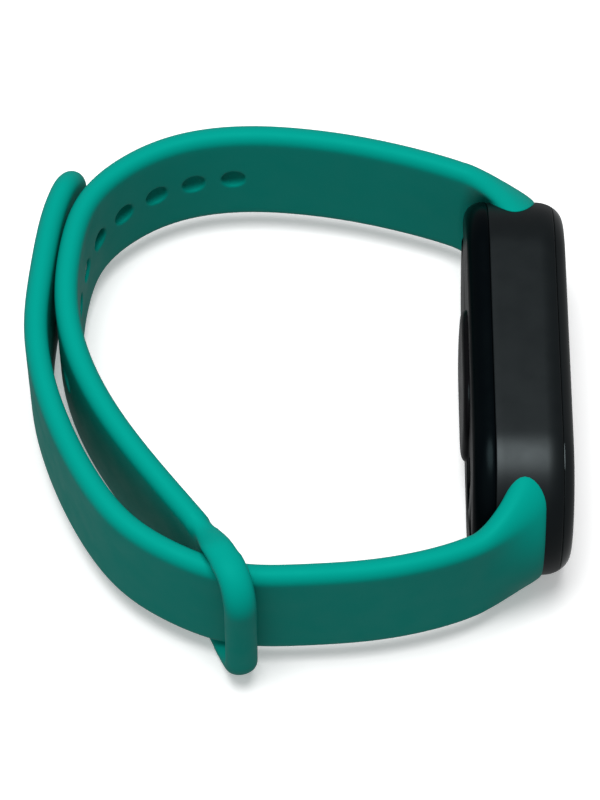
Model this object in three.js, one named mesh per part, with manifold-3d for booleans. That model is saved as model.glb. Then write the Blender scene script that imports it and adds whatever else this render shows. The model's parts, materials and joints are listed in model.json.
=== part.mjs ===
// A fitness tracker on its two-part band, fastened and lying on its side. Millimetres.
// The origin is the centre of the sensor window's skin face. +X leaves through the display,
// +Y points to the end that carries the holed strap, and +Z is the axis of the wrist.
import * as THREE from "three";
import { mergeVertices } from "three/addons/utils/BufferGeometryUtils.js";
import Module from "manifold-3d";

const wasm = await Module();
wasm.setup();

const gap = 0.3; // clearance between pieces that rest on or fit into each other
const arcFacets = 10; // flats along each arc of a capsule layer's outline

// Capsule: a stadium outline along Y, built up in layers along X.
const capsuleLength = 48.6;
const capsuleWidth = 22.5;
const caseBack = 0.7; // the sensor window stands this far proud of the back
const caseRound = 2.1; // curve from the back round to the side
const caseFloor = 1.2;
const caseSeam = 3.35; // where the lower case and the frame meet
const frameFront = 11.15;
const frameRound = 0.6;
const frameWall = 1.6;
const endBlock = 7.9; // solid end of the frame, which holds the strap socket
const ringWall = 0.8;

const coverThick = 1.05;
const coverInset = 0.6; // glass edge inside the frame's outline
const coverRound = 0.4;
const displayLength = 40.4;
const displayWidth = 16.4;
const displayThick = 1.1;
const displayRear = 9.8;
const adhesiveWidth = 1.7;
const adhesiveThick = 0.25;
const adhesiveInset = 1.5; // rebate for the adhesive, inside the frame's outline
const rebateHang = 0.1; // how far the display pocket cuts into the cavity below it
const sealWidth = 0.5;
const sealThick = 0.6;
const rimHeight = 1.25; // ring of the lower case that stands up inside the frame

// Sensor window and what is behind it.
const lensLength = 17.8;
const lensWidth = 13.6;
const lensCorner = 5.5;
const lensRound = 0.3;
const flangeLip = 0.9;
const flangeThick = 0.6;
const sensorLength = 9;
const sensorWidth = 6;
const sensorThick = 1.5;
const sensorRoom = 0.65; // air round the sensor, inside the window
const sensorBoardLength = 18;
const sensorBoardWidth = 12.5;
const boardThick = 0.8;
const contactRadius = 1;
const contactSpacing = 5;
const contactFromCentre = 13.6;
const contactRecess = 0.4;
const contactRim = 0.8; // flat of the recess round each contact

// Inside the frame.
const bracketHeight = 2.4;
const batteryPad = 0.4; // under the battery
const batteryLength = 16.5;
const batteryWidth = 14.4;
const batteryThick = 3;
const batteryCentre = -2.25;
const batteryRound = 0.8;
const motorRadius = 3.5;
const motorThick = 2.4;
const motorCentre = 10.6;
const mainBoardThick = 0.6;
const canLength = 14;
const canWidth = 12;
const canHeight = 0.8;
const canSkin = 0.3;
const canCentre = 1;
const flexThick = 0.2;
const flexWidth = 5;
const antennaThick = 0.4;
const antennaAfterCan = 1;
const flexReach = 5;
const flexAfterCan = 3;

// Strap socket, connector and release button, the same at both ends.
const tongueThick = 2.7;
const tongueWidth = 11;
const tongueLength = 6.25;
const socketWall = 1.6; // between the frame's cavity and the socket
const socketFloor = 0.55;
const buttonInTongue = 2.4; // from the root of the tongue to the button's middle
const boreRoof = 0.5; // plastic left over the spring
const anchorThick = 1.2; // insert moulded into the silicone
const anchorStart = 8; // along the strap's course
const anchorLength = 5;
const padLength = 2;
const padWidth = 3.6;
const latchLip = 1; // across, and a little less along the tongue
const latchLipLong = 0.6;
const latchClear = 0.1;
const latchHeight = 1.25;
const padRecess = 0.4;
const springRadius = 0.85;
const springWire = 0.12;
const springTurns = 3;

// Silicone straps.
const strapWidth = 16.5;
const strapThick = 2.8;
const strapEdge = 1;
const strapStep = 3.1; // length of one facet along a strap
const rootWidth = 19.6; // where the strap hugs the capsule
const rootThick = 6.8;
const rootLength = 12;
const rootSquare = 3; // the root keeps its full width this far back from its front
const rootFront = 9.1; // level of the ledge between strap and frame front
const wristDepth = 46.85; // from the capsule's skin face to the far side of the holed strap
const wristHalfSpan = 31.6;
const holeRadius = 1.5;
const holePitch = 5.2;
const holeCount = 9;
const firstHole = 41.7; // along the holed strap, from its start
const studHole = 5; // the stud sits in the sixth hole
const layGap = 0.3; // the tail lies this far off the holed strap
const tipPastStud = 9.4;
const tipLift = 0.7; // the tip springs away from the holed strap
const tipCorner = 5;
const noseFacets = 6;
const studRadius = 1.15;
const studHead = 3;
const studHeadThick = 0.8;
const studShy = 0.4; // the shank stops this far short of the inner face
const tailFree = 29.4; // length of tail that peels open

// Loop at the end of the holed strap.
const loopArm = 2.15;
const loopSide = 0.35; // room between an arm and the strap in it
const loopBarWidth = 3.75;
const loopBarThick = 2.7;
const loopBarRound = 1.1;
const loopEdge = 0.5;
const loopShoulder = 3;
const loopReach = 8; // from the strap's end to the middle of the bar

const silicone = { color: 0x009681, roughness: 0.55, metalness: 0 };
const satin = { color: 0x15181d, roughness: 0.4, metalness: 0.3 };
const glossBlack = { color: 0x08090b, roughness: 0.12, metalness: 0 };
const glass = { color: 0x050608, roughness: 0.04, metalness: 0 };
const steel = { color: 0xa8a9ab, roughness: 0.3, metalness: 1 };
const board = { color: 0x14432d, roughness: 0.5, metalness: 0 };
const foil = { color: 0x8d9197, roughness: 0.35, metalness: 0.8 };
const flexFilm = { color: 0xa05a1c, roughness: 0.45, metalness: 0 };
const blackPlastic = { color: 0x1a1b1d, roughness: 0.6, metalness: 0 };
const gold = { color: 0xc79a3f, roughness: 0.25, metalness: 1 };

// A closed three.js geometry as a solid that can be cut and joined.
function solid(geometry) {
  geometry.deleteAttribute("normal");
  geometry.deleteAttribute("uv");
  const merged = mergeVertices(geometry);
  return new wasm.Manifold(
    new wasm.Mesh({
      numProp: 3,
      vertProperties: merged.attributes.position.array,
      triVerts: new Uint32Array(merged.index.array),
    }),
  );
}

// Outline with straight sides along its length and a half circle at each end.
function stadium(length, width) {
  const r = width / 2;
  const c = length / 2 - r;
  const shape = new THREE.Shape();
  shape.absarc(c, 0, r, -Math.PI / 2, Math.PI / 2);
  shape.absarc(-c, 0, r, Math.PI / 2, (3 * Math.PI) / 2);
  shape.closePath();
  return shape;
}

function roundedRect(length, width, r) {
  const a = length / 2 - r;
  const b = width / 2 - r;
  const shape = new THREE.Shape();
  shape.absarc(a, b, r, 0, Math.PI / 2);
  shape.absarc(-a, b, r, Math.PI / 2, Math.PI);
  shape.absarc(-a, -b, r, Math.PI, (3 * Math.PI) / 2);
  shape.absarc(a, -b, r, (3 * Math.PI) / 2, 2 * Math.PI);
  shape.closePath();
  return shape;
}

// A shape drawn in its own plane and given thickness, with both rims rounded inwards by edge.
function slab(shape, thickness, edge, curveSegments) {
  const geometry = new THREE.ExtrudeGeometry(shape, {
    depth: thickness - 2 * edge,
    curveSegments,
    bevelEnabled: edge > 0,
    bevelThickness: edge,
    bevelSize: edge,
    bevelOffset: -edge,
    bevelSegments: 2,
  });
  return geometry.translate(0, 0, edge);
}

// A layer of the capsule: the shape lies in Y and Z, and runs from x0 to x1.
function layer(shape, x0, x1, edge = 0) {
  const across = new THREE.Matrix4().makeBasis(
    new THREE.Vector3(0, 1, 0),
    new THREE.Vector3(0, 0, 1),
    new THREE.Vector3(1, 0, 0),
  );
  return solid(slab(shape, x1 - x0, edge, arcFacets).applyMatrix4(across).translate(x0, 0, 0));
}

// A shape in X and Y, standing from z0 to z1.
function standing(shape, z0, z1, edge = 0) {
  return solid(slab(shape, z1 - z0, edge, 8).translate(0, 0, z0));
}

function block(x0, x1, y0, y1, z0, z1) {
  const geometry = new THREE.BoxGeometry(x1 - x0, y1 - y0, z1 - z0);
  return solid(geometry.translate((x0 + x1) / 2, (y0 + y1) / 2, (z0 + z1) / 2));
}

function rodX(radius, x0, x1, y, z, sides = 16) {
  const geometry = new THREE.CylinderGeometry(radius, radius, x1 - x0, sides);
  return solid(geometry.rotateZ(-Math.PI / 2).translate((x0 + x1) / 2, y, z));
}

const ring = (length, width, wall, x0, x1) =>
  layer(stadium(length, width), x0, x1).subtract(
    layer(stadium(length - 2 * wall, width - 2 * wall), x0 - 1, x1 + 1),
  );

const object = new THREE.Group();

function place(name, shape, finish) {
  const mesh = shape.getMesh();
  const geometry = new THREE.BufferGeometry();
  geometry.setAttribute("position", new THREE.BufferAttribute(mesh.vertProperties, 3));
  geometry.setIndex(new THREE.BufferAttribute(mesh.triVerts, 1));
  geometry.computeVertexNormals();
  const node = new THREE.Mesh(geometry, new THREE.MeshStandardMaterial(finish));
  node.name = name;
  object.add(node);
}

// Levels and outlines that several layers share.
const cavityLength = capsuleLength - 2 * endBlock;
const cavityWidth = capsuleWidth - 2 * frameWall;
const ringLength = cavityLength - 2 * gap;
const ringWidth = cavityWidth - 2 * gap;
const innerLength = ringLength - 2 * ringWall;
const innerWidth = ringWidth - 2 * ringWall;
const floorTop = caseBack + caseFloor;
const rimTop = caseSeam + rimHeight;
const sealRoom = sealWidth + gap; // rebate round the cavity for the seal
const coverRear = frameFront + gap;
const coverFront = coverRear + coverThick;
const displayPocket = displayRear - gap;
const rebateFloor = frameFront - adhesiveThick - gap;
const lensTop = floorTop + gap + flangeThick;
const sensorBoardRear = lensTop + gap;
const sensorBoardTop = sensorBoardRear + boardThick;
const bracketRear = rimTop + gap;
const bracketTop = bracketRear + bracketHeight;
const batteryRear = sensorBoardTop + batteryPad;
const mainBoardRear = Math.max(bracketTop, batteryRear + batteryThick) + gap;
const mainBoardTop = mainBoardRear + mainBoardThick;
const capsuleEnd = capsuleLength / 2;
const socketEnd = cavityLength / 2 + socketWall;
const socketRear = caseSeam + socketFloor;
const tongueRear = socketRear + gap;
const tongueFront = tongueRear + tongueThick;
const buttonAt = socketEnd + gap + buttonInTongue; // from the capsule's centre
const latchLength = padLength + latchLipLong;
const latchWidth = padWidth + 2 * latchLip;
const latchRear = caseSeam + latchClear;
const latchTop = latchRear + latchHeight;
const boreTop = tongueFront - boreRoof;

// Everything that both ends share is drawn at +Y and mirrored for the near end.
const ends = [
  ["far", 1],
  ["near", -1],
];

function atEnd(side, x0, x1, y0, y1, halfWidth) {
  const [low, high] = side > 0 ? [y0, y1] : [-y1, -y0];
  return block(x0, x1, low, high, -halfWidth, halfWidth);
}

// Room for a release button's latch, between two levels.
function latchBore(side, x0, x1) {
  const half = latchLength / 2 + gap;
  return atEnd(side, x0, x1, buttonAt - half, buttonAt + half, latchWidth / 2 + gap);
}

// All that lies between two levels of the capsule.
function levels(x0, x1) {
  return block(x0, x1, -capsuleLength, capsuleLength, -capsuleWidth, capsuleWidth);
}

function lowerCase() {
  const outside = stadium(capsuleLength, capsuleWidth);
  let body = layer(outside, caseBack, caseBack + 3 * caseRound, caseRound);
  body = body.intersect(levels(0, caseSeam - gap));
  body = body.add(layer(stadium(ringLength, ringWidth), floorTop, rimTop));
  body = body.subtract(layer(stadium(innerLength, innerWidth), floorTop, rimTop + 1));
  const lensHole = roundedRect(lensLength + 2 * gap, lensWidth + 2 * gap, lensCorner + gap);
  body = body.subtract(layer(lensHole, -1, floorTop + 1));
  const recessLength = 2 * (contactRadius + contactRim);
  const recess = roundedRect(recessLength, contactSpacing + recessLength, 2 * contactRim);
  const recessCut = layer(recess, 0, caseBack + contactRecess);
  body = body.subtract(recessCut.translate([0, -contactFromCentre, 0]));
  for (const z of [-contactSpacing / 2, contactSpacing / 2]) {
    body = body.subtract(rodX(contactRadius + gap, 0, floorTop + 1, -contactFromCentre, z));
  }
  for (const [, side] of ends) {
    const inner = buttonAt - padLength / 2 - gap;
    body = body.subtract(atEnd(side, -1, caseSeam + 1, inner, capsuleEnd + 1, padWidth / 2 + gap));
  }
  return body;
}

function upperFrame() {
  const front = layer(
    stadium(capsuleLength, capsuleWidth),
    caseSeam - 2 * frameRound,
    frameFront,
    frameRound,
  );
  let body = front.intersect(levels(caseSeam, frameFront + 1));
  const cavity = stadium(cavityLength, cavityWidth);
  body = body.subtract(layer(cavity, caseSeam - 1, displayPocket + rebateHang));
  const sealRebate = stadium(cavityLength + 2 * sealRoom, cavityWidth + 2 * sealRoom);
  body = body.subtract(layer(sealRebate, caseSeam - 1, caseSeam + sealThick + gap));
  const pocket = stadium(displayLength + 2 * gap, displayWidth + 2 * gap);
  body = body.subtract(layer(pocket, displayPocket, frameFront + 1));
  const rebate = stadium(capsuleLength - 2 * adhesiveInset, capsuleWidth - 2 * adhesiveInset);
  body = body.subtract(layer(rebate, rebateFloor, frameFront + 1));
  for (const [, side] of ends) {
    const socketHalf = tongueWidth / 2 + gap;
    const socketTop = tongueFront + gap;
    body = body.subtract(atEnd(side, socketRear, socketTop, socketEnd, capsuleEnd + 1, socketHalf));
    body = body.subtract(latchBore(side, caseSeam - 1, socketRear + 1));
  }
  return body;
}

// Courses of the two straps, as shares of the wrist opening's depth and half span. Each starts
// inside the capsule's end, so that the capsule's own shape cuts it to fit.
const rootStart = [11.2, capsuleEnd - 5.3];
const rootLeaves = [8, capsuleEnd - 3];
const share = ([depth, span]) => new THREE.Vector3(-depth * wristDepth, span * wristHalfSpan, 0);
const course = (points) => {
  const curve = new THREE.CatmullRomCurve3(points, false, "centripetal");
  curve.arcLengthDivisions = 900;
  return curve;
};

const holeCourse = course([
  new THREE.Vector3(rootStart[0], rootStart[1], 0),
  new THREE.Vector3(rootLeaves[0], rootLeaves[1], 0),
  ...[
    [-0.061, 0.791],
    [0.067, 0.873],
    [0.238, 0.946],
    [0.409, 0.99],
    [0.58, 1],
    [0.75, 0.949],
    [0.864, 0.853],
    [0.956, 0.7],
    [0.994, 0.5],
    [1.003, 0.253],
    [0.974, 0.027],
    [0.896, -0.234],
    [0.801, -0.449],
    [0.71, -0.628],
    [0.647, -0.75],
    [0.612, -0.834],
    [0.59, -0.93],
    [0.563, -1.0],
    [0.553, -1.07],
  ].map(share),
]);
const holeLength = holeCourse.getLength();

// A place along a course: its point, the way it runs and the direction to its left.
function along(curve, distance) {
  const u = THREE.MathUtils.clamp(distance / curve.getLength(), 0, 1);
  const point = curve.getPointAt(u);
  const run = curve.getTangentAt(u);
  return { point, run, left: new THREE.Vector3(-run.y, run.x, 0) };
}

// Outline of a strap seen along the wrist's axis: the course with half a thickness on each side.
function ribbon(curve, from, to, half) {
  const steps = Math.max(2, Math.ceil((to - from) / strapStep));
  const halfAt = typeof half === "function" ? half : () => half;
  const edges = [[], []];
  for (let i = 0; i <= steps; i += 1) {
    const distance = from + ((to - from) * i) / steps;
    const { point, left } = along(curve, distance);
    edges[0].push(point.clone().addScaledVector(left, halfAt(distance)));
    edges[1].unshift(point.clone().addScaledVector(left, -halfAt(distance)));
  }
  return new THREE.Shape(edges.flat().map((p) => new THREE.Vector2(p.x, p.y)));
}

const strapBand = (curve, from, to, width = strapWidth, half = strapThick / 2, edge = strapEdge) =>
  standing(ribbon(curve, from, to, half), -width / 2, width / 2, edge);

// The tail lies beside the holed strap, a thickness and a small gap outside it.
const studAt = firstHole + studHole * holePitch;
function besideHoleStrap(past) {
  const { point, left } = along(holeCourse, studAt + past);
  const lift = tipLift * Math.min(past / tipPastStud, 0) ** 2;
  return point.addScaledVector(left, -(strapThick + layGap + lift));
}

const plainCourse = course([
  new THREE.Vector3(rootStart[0], -rootStart[1], 0),
  new THREE.Vector3(rootLeaves[0], -rootLeaves[1], 0),
  ...[
    [-0.061, -0.801],
    [0.067, -0.873],
    [0.238, -0.927],
    [0.409, -0.946],
    [0.58, -0.937],
    [0.708, -0.864],
    [0.836, -0.734],
    [0.921, -0.57],
    [1.006, -0.316],
    [1.06, -0.063],
    [1.078, 0.17],
  ].map(share),
  ...[5, 0, -tipPastStud / 2, -tipPastStud].map(besideHoleStrap),
]);
const plainLength = plainCourse.getLength();
const hingeAt = plainLength - tailFree;
const tailOut = -(strapThick * 1.5 + layGap); // outer face of the tail, from the holed strap's middle

// The thick end that hugs the capsule, narrowing to the strap's own section.
function strapRoot(curve, side) {
  const swell = (distance) => {
    const left = THREE.MathUtils.clamp(1 - distance / rootLength, 0, 1);
    return strapThick / 2 + ((rootThick - strapThick) / 2) * left;
  };
  const body = strapBand(curve, 0, rootLength + 1, rootWidth, swell, strapEdge);
  const narrow = strapWidth / 2 - strapEdge / 4;
  const plan = new THREE.Shape([
    new THREE.Vector2(rootFront, -rootWidth / 2),
    new THREE.Vector2(rootFront, rootWidth / 2),
    new THREE.Vector2(rootFront - rootSquare, rootWidth / 2),
    new THREE.Vector2(rootFront - rootLength, narrow),
    new THREE.Vector2(rootFront - rootLength, -narrow),
    new THREE.Vector2(rootFront - rootSquare, -rootWidth / 2),
  ]);
  const height = capsuleLength;
  const lying = slab(plan, height, 0, 2).rotateX(Math.PI / 2);
  return body.intersect(solid(lying.translate(0, side > 0 ? height : 0, 0)));
}

const capsuleSpace = layer(
  stadium(capsuleLength + 2 * gap, capsuleWidth + 2 * gap),
  caseBack - 5,
  coverFront + 1,
);
const frontSpace = levels(rootFront, coverFront + 5);

// The hard insert: a tongue in the frame's socket and an anchor moulded into the strap.
function connector(curve, side, grow) {
  const half = tongueWidth / 2 + grow;
  const tongue = atEnd(
    side,
    tongueRear - grow,
    tongueFront + grow,
    socketEnd + gap,
    socketEnd + tongueLength + gap,
    half,
  );
  const anchor = strapBand(
    curve,
    anchorStart,
    anchorStart + anchorLength + grow,
    tongueWidth + 2 * grow,
    anchorThick / 2 + grow,
    0,
  );
  return tongue.add(grow > 0 ? anchor : anchor.subtract(capsuleSpace));
}

// A strap cut to the capsule, to its ledge and to the insert it is moulded round.
function freeOfCapsule(body, curve, side) {
  return body.subtract(capsuleSpace).subtract(frontSpace).subtract(connector(curve, side, gap));
}

function holeStrap() {
  const strapEnd = holeLength - loopReach;
  let body = strapBand(holeCourse, 0, strapEnd);
  body = body.add(strapRoot(holeCourse, 1));
  const loopHalf = strapWidth / 2 + loopSide + loopArm;
  body = body.add(strapBand(holeCourse, strapEnd - loopShoulder, strapEnd, 2 * loopHalf));
  const arm = ribbon(holeCourse, strapEnd - 1, holeLength, strapThick / 2 + 0.1);
  body = body.add(standing(arm, loopHalf - loopArm, loopHalf, loopEdge));
  body = body.add(standing(arm, -loopHalf, loopArm - loopHalf, loopEdge));
  const section = roundedRect(loopBarThick, loopBarWidth, loopBarRound);
  const { point, run } = along(holeCourse, holeLength);
  const turn = THREE.MathUtils.radToDeg(Math.atan2(run.y, run.x));
  const bar = standing(section, -loopHalf, loopHalf, loopEdge);
  body = body.add(bar.rotate([0, 0, turn]).translate([point.x, point.y, 0]));
  for (let i = 0; i < holeCount; i += 1) {
    const at = firstHole + i * holePitch;
    body = body.subtract(crossPin(holeCourse, at, holeRadius, -strapThick, strapThick));
  }
  return freeOfCapsule(body, holeCourse, 1);
}

// A round pin across a strap, from one distance to another along the direction to its left.
function crossPin(curve, distance, radius, from, to) {
  const { point, left } = along(curve, distance);
  const geometry = new THREE.CylinderGeometry(radius, radius, to - from, 14);
  geometry.translate(0, (from + to) / 2, 0);
  geometry.rotateZ(Math.atan2(left.y, left.x) - Math.PI / 2);
  return solid(geometry.translate(point.x, point.y, 0));
}

function lowerStrap() {
  const end = hingeAt - strapThick / 2 - gap;
  const body = strapBand(plainCourse, 0, end).add(strapRoot(plainCourse, -1));
  return freeOfCapsule(body, plainCourse, -1);
}

// The free end of the plain strap: a round nose at the flexing line and a rounded tip.
function strapTail() {
  const start = along(plainCourse, hingeAt);
  const outline = ribbon(plainCourse, hingeAt, plainLength, strapThick / 2).getPoints();
  const rightSide = Math.atan2(start.left.y, start.left.x) - Math.PI;
  for (let i = 1; i < noseFacets; i += 1) {
    const angle = rightSide - (Math.PI * i) / noseFacets;
    outline.push(
      new THREE.Vector2(
        start.point.x + (strapThick / 2) * Math.cos(angle),
        start.point.y + (strapThick / 2) * Math.sin(angle),
      ),
    );
  }
  const body = standing(new THREE.Shape(outline), -strapWidth / 2, strapWidth / 2, strapEdge);
  const { point, run } = along(plainCourse, plainLength);
  const reach = 2 * tailFree;
  const plan = solid(
    slab(roundedRect(reach, strapWidth + gap, tipCorner), reach, 0, 6)
      .rotateX(Math.PI / 2)
      .translate(-reach / 2, reach / 2, 0)
      .rotateZ(Math.atan2(run.y, run.x))
      .translate(point.x, point.y, 0),
  );
  const bore = crossPin(holeCourse, studAt, studRadius + gap, tailOut - 1, 0);
  const seatFloor = tailOut + studHeadThick + gap;
  const seat = crossPin(holeCourse, studAt, studHead + gap, tailOut - 1, seatFloor);
  return body.intersect(plan).subtract(bore).subtract(seat);
}

function fasteningStud() {
  const shankEnd = strapThick / 2 - studShy;
  const shank = crossPin(holeCourse, studAt, studRadius, tailOut + studHeadThick / 2, shankEnd);
  return shank.add(crossPin(holeCourse, studAt, studHead, tailOut, tailOut + studHeadThick));
}

function releaseButton(side) {
  const halfPad = padLength / 2;
  const halfLatch = latchLength / 2;
  const padRear = caseBack + padRecess;
  const padTop = latchRear + latchHeight / 4;
  const pad = atEnd(side, padRear, padTop, buttonAt - halfPad, buttonAt + halfPad, padWidth / 2);
  const [inner, outer] = [buttonAt - halfLatch, buttonAt + halfLatch];
  return pad.add(atEnd(side, latchRear, latchTop, inner, outer, latchWidth / 2));
}

// A compression spring along X, a wire along a helix.
class Helix extends THREE.Curve {
  constructor(radius, length, turns) {
    super();
    Object.assign(this, { radius, length, turns });
  }
  getPoint(t) {
    const angle = 2 * Math.PI * this.turns * t;
    const [y, z] = [this.radius * Math.cos(angle), this.radius * Math.sin(angle)];
    return new THREE.Vector3(t * this.length, y, z);
  }
}

function buttonSpring(side) {
  const start = latchTop + gap + springWire;
  const end = boreTop - gap - springWire;
  const wire = new THREE.Shape().absarc(0, 0, springWire, 0, 2 * Math.PI);
  const geometry = new THREE.ExtrudeGeometry(wire, {
    steps: 9 * springTurns,
    curveSegments: 2,
    bevelEnabled: false,
    extrudePath: new Helix(springRadius, end - start, springTurns),
  });
  return solid(geometry.translate(start, side * buttonAt, 0));
}

function sensorLens() {
  const body = layer(roundedRect(lensLength, lensWidth, lensCorner), 0, lensTop, lensRound);
  const lip = 2 * (flangeLip + gap);
  const flangeShape = roundedRect(lensLength + lip, lensWidth + lip - 2 * gap, lensCorner + flangeLip);
  const flange = layer(flangeShape, floorTop + gap, lensTop);
  const roomLength = sensorLength + 2 * sensorRoom;
  const roomWidth = sensorWidth + 2 * sensorRoom;
  const pocket = layer(roundedRect(roomLength, roomWidth, sensorRoom), sensorRoom + gap, lensTop + 1);
  return body.add(flange).subtract(pocket);
}

// Capsule shells.
place("lower_case", lowerCase(), glossBlack);
place("upper_frame", upperFrame(), satin);
const coverShape = stadium(capsuleLength - 2 * coverInset, capsuleWidth - 2 * coverInset);
place("display_cover", layer(coverShape, coverRear, coverFront, coverRound), glass);
const rebateLength = capsuleLength - 2 * (adhesiveInset + gap);
const rebateWidth = capsuleWidth - 2 * (adhesiveInset + gap);
const adhesiveBand = Math.min(adhesiveWidth, (rebateWidth - displayWidth) / 2 - gap);
place(
  "display_adhesive",
  ring(rebateLength, rebateWidth, adhesiveBand, frameFront - adhesiveThick, frameFront),
  blackPlastic,
);
place(
  "display_panel",
  layer(stadium(displayLength, displayWidth), displayRear, displayRear + displayThick),
  { color: 0x0b0d12, roughness: 0.2, metalness: 0 },
);
const sealGrow = 2 * sealWidth + gap; // outside the cavity, clear of the rebate's wall
place(
  "case_seal",
  ring(cavityLength + sealGrow, cavityWidth + sealGrow, sealWidth, caseSeam, caseSeam + sealThick),
  blackPlastic,
);

// Skin side.
place("sensor_lens", sensorLens(), glossBlack);
const sensorFront = lensTop - sensorThick;
place(
  "optical_sensor",
  layer(roundedRect(sensorLength, sensorWidth, sensorRoom), sensorFront, lensTop),
  blackPlastic,
);
place(
  "sensor_board",
  layer(roundedRect(sensorBoardLength, sensorBoardWidth, 2), sensorBoardRear, sensorBoardTop),
  board,
);
[-1, 1].forEach((side, i) => {
  const z = (side * contactSpacing) / 2;
  place(
    "charging_contact_" + (i + 1),
    rodX(contactRadius, caseBack + contactRecess / 2, sensorBoardTop, -contactFromCentre, z, 20),
    gold,
  );
});

// Inside the frame.
place("battery_bracket", ring(ringLength, ringWidth, ringWall, bracketRear, bracketTop), blackPlastic);
const cell = roundedRect(batteryLength, batteryWidth, batteryRound);
place(
  "battery",
  layer(cell, batteryRear, batteryRear + batteryThick).translate([0, batteryCentre, 0]),
  foil,
);
place(
  "vibration_motor",
  rodX(motorRadius, bracketRear, bracketRear + motorThick, motorCentre, 0, 28),
  steel,
);
place(
  "main_board",
  layer(stadium(ringLength - gap, ringWidth - gap), mainBoardRear, mainBoardTop),
  board,
);
const canRear = mainBoardTop + gap;
const canTop = canRear + canHeight;
const can = layer(roundedRect(canLength, canWidth, canSkin), canRear, canTop);
const canInside = roundedRect(canLength - 2 * canSkin, canWidth - 2 * canSkin, canSkin / 2);
const canRoom = layer(canInside, canRear - 1, canTop - canSkin);
place("shield_can", can.subtract(canRoom).translate([0, canCentre, 0]), steel);
const canNear = canCentre - canLength / 2;
const antennaFrom = canCentre + canLength / 2 + antennaAfterCan;
place(
  "antenna",
  ring(ringLength, ringWidth, antennaThick, canRear, canTop).intersect(
    block(0, coverFront, antennaFrom, capsuleLength, -capsuleWidth, capsuleWidth),
  ),
  gold,
);

// A flex is a flat strip along a board and a riser that goes up from its end.
function flexStrip(x0, x1, y0, y1) {
  return block(x0, x1, y0, y1, -flexWidth / 2, flexWidth / 2);
}

const displayFlexEnd = canNear - flexAfterCan;
const flexTop = displayRear - gap;
const displayStrip = flexStrip(flexTop - flexThick, flexTop, displayFlexEnd - flexReach, displayFlexEnd);
const displayRise = flexStrip(mainBoardTop + gap, flexTop, displayFlexEnd - flexThick, displayFlexEnd);
place("display_flex", displayStrip.add(displayRise), flexFilm);
const sensorFlexAt = batteryCentre - batteryLength / 2 - gap - 2 * flexThick;
const flexRear = sensorBoardRear + gap;
const sensorFlexEnd = -sensorBoardLength / 2 - gap;
const sensorStrip = flexStrip(flexRear, flexRear + flexThick, sensorFlexAt, sensorFlexEnd);
const sensorRise = flexStrip(flexRear, mainBoardRear - gap, sensorFlexAt, sensorFlexAt + flexThick);
place("sensor_flex", sensorStrip.add(sensorRise), flexFilm);

// Straps and what joins them to the capsule.
place("hole_strap", holeStrap(), silicone);
place("lower_strap", lowerStrap(), silicone);
place("strap_tail", strapTail(), silicone);
place("fastening_stud", fasteningStud(), silicone);
for (const [name, side] of ends) {
  const curve = side > 0 ? holeCourse : plainCourse;
  const insert = connector(curve, side, 0).subtract(latchBore(side, 0, boreTop));
  place("strap_connector_" + name, insert, blackPlastic);
  place("release_button_" + name, releaseButton(side), blackPlastic);
  place("button_spring_" + name, buttonSpring(side), steel);
}

export default object;
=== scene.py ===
import json
import math
import bmesh
import bpy
import numpy as np
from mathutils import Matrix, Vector


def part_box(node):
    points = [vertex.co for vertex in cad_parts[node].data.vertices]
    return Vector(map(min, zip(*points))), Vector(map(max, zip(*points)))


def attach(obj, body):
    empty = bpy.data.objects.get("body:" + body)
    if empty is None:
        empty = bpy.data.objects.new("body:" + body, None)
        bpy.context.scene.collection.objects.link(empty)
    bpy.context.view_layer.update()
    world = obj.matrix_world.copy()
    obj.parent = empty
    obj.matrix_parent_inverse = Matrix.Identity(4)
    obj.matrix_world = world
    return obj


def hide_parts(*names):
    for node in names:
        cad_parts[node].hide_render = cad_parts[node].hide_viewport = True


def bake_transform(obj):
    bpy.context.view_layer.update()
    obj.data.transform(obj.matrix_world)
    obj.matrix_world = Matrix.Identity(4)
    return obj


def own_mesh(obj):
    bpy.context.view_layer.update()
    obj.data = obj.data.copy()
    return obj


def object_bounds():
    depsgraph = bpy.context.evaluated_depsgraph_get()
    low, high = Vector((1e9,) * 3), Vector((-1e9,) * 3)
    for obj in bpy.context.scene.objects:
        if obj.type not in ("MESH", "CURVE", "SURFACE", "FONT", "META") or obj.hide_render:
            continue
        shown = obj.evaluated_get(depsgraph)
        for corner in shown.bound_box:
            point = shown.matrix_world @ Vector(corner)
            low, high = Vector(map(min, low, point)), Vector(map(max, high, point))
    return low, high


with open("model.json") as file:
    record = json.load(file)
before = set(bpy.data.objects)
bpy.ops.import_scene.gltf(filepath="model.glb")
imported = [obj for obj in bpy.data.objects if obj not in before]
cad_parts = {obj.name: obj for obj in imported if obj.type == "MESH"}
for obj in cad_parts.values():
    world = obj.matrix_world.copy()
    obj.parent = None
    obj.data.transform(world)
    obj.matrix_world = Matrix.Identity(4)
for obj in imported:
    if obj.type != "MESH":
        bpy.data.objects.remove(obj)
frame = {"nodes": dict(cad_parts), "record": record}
cadLow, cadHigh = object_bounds()
nodes = frame["nodes"]
print("frame loaded:", len(nodes), "nodes")

# Shapes below are worked out in millimetres and put into meshes in metres.
mm = 0.001

cameraSetup = {
    "target": (-19.15, -2.0, 0.0),
    "elevation": 58.0,
    "distance": 450.0,
    "lens": 170.1,
    "sensor": 36.0,
}

studio = {
    "world": (0.97, 0.99, 1.0),
    "worldStrength": 0.28,
    "keyPower": 3.1,
    "keySize": 0.34,
    "keyPlace": (-0.03, -0.02, 0.55),
    "softPower": 0.6,
    "softSize": 0.8,
    "softPlace": (-0.22, -0.3, 0.5),
    "floorColor": (0.95, 0.95, 0.95),
    "floorGlow": 0.25,
    "floorSize": 3.0,
}

capsule = {
    "length": 48.6,
    "width": 22.5,
    "around": 56,          # points along each half circle
    "straight": 26,        # points along each straight side
}


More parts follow.
